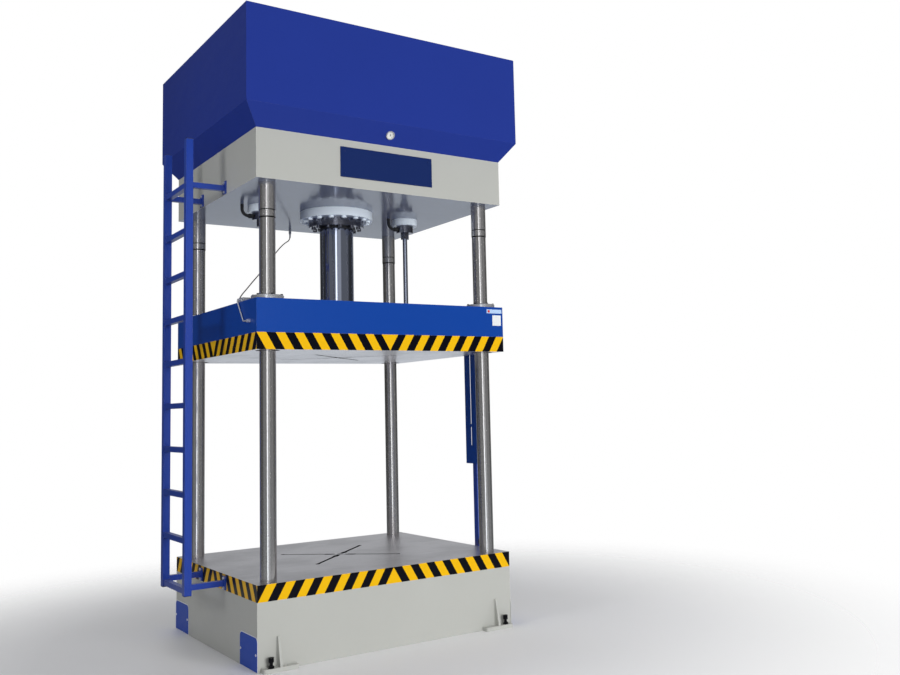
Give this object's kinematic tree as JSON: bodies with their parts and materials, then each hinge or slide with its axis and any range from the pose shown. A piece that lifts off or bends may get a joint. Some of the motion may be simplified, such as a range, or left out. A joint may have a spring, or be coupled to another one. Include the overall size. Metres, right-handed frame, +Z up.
{
  "type": "hydraulic press",
  "caption": "Free-standing four-column hydraulic press: a slide on chromed columns between a slotted table and a crown with a centre ram, return cylinders, hood and side ladder.",
  "frame": {"origin": "on the floor under the middle of the bed", "axes": "+X to the right along the front, the front faces -Y, +Z up; the ladder is on the -X side"},
  "size_m": [2.1735, 1.79, 4.01],
  "materials": {
    "grey_paint": "semi-gloss light grey machine enamel",
    "blue_paint": "gloss blue machine enamel",
    "ground_steel": "ground working face; the edges carry black and yellow warning stripes",
    "chrome": "hard chromed and polished",
    "turned_steel": "turned bright steel",
    "black_steel": "blackened steel",
    "pale_paint": "pale blue-grey enamel",
    "black_rubber": "matt black hose and seal rubber",
    "tank_paint": "grey enamel",
    "bare_iron": "phosphated iron",
    "bright_steel": "bright drawn steel",
    "black_plastic": "moulded black plastic",
    "plate_navy": "dark blue plate with a pale border",
    "gauge_chrome": "polished bezel",
    "dial_white": "white dial with plain numbers",
    "needle_black": "black lacquer",
    "gauge_glass": "clear"
  },
  "bodies": {
    "press_frame": {"access_covers": "blue_paint", "bed_frame": "grey_paint", "bed_table": "ground_steel", "bell_housing": "tank_paint", "column_back_left": "chrome", "column_back_right": "chrome", "column_front_left": "chrome", "column_front_right": "chrome", "column_nuts_lower": "black_steel", "column_nuts_upper": "black_steel", "column_sleeves": "turned_steel", "cover_screws": "turned_steel", "crown_fitting": "turned_steel", "crown_frame": "grey_paint", "cylinder_screws": "pale_paint", "gauge_case": "gauge_chrome", "gauge_dial": "dial_white", "gauge_glass": "gauge_glass", "gland_screws": "black_steel", "hood_shell": "blue_paint", "ladder_brackets": "blue_paint", "ladder_post_back": "blue_paint", "ladder_post_front": "blue_paint", "ladder_rungs": "blue_paint", "levelling_bolts": "black_steel", "levelling_feet": "grey_paint", "main_cylinder": "pale_paint", "main_gland": "black_steel", "motor_fan_cowl": "tank_paint", "motor_housing": "tank_paint", "nameplate": "plate_navy", "oil_tank": "tank_paint", "prefill_valve": "pale_paint", "pressure_pipe": "bright_steel", "proximity_switches": "black_plastic", "pump": "bare_iron", "ram_wiper": "black_rubber", "return_cylinder_left": "pale_paint", "return_cylinder_right": "pale_paint", "return_gland_nuts": "turned_steel", "return_glands": "black_steel", "return_hose_left": "black_rubber", "return_hose_right": "black_rubber", "solenoid_valves": "black_plastic", "switch_post": "blue_paint", "tank_breather": "bright_steel", "valve_block": "bare_iron"},
    "slide": {"slide_frame": "blue_paint", "slide_plate": "ground_steel", "guide_bushes": "turned_steel", "bush_screws": "black_steel", "main_ram": "chrome", "return_rod_left": "chrome", "return_rod_right": "chrome", "cam_plate": "blue_paint", "cam_blocks": "black_steel", "lube_line": "turned_steel", "lube_hose": "black_rubber"},
    "motor_rotor": {"motor_shaft": "bright_steel"},
    "needle": {"gauge_needle": "needle_black"}
  },
  "joints": [
    {"name": "slide_travel", "type": "slide", "parent": "press_frame", "child": "slide", "axis": [0, 0, 1], "range_m": [-0.69, 0.11], "deforming": ["lube_hose"]},
    {"name": "motor_spin", "type": "hinge", "parent": "press_frame", "child": "motor_rotor", "pos_m": [-0.6, -0.5, 3.44], "axis": [1, 0, 0], "continuous": true},
    {"name": "needle_turn", "type": "hinge", "parent": "press_frame", "child": "needle", "pos_m": [0, -0.84604, 3.323], "axis": [0, 0.8074, 0.59], "range_deg": [0, 270]}
  ]
}
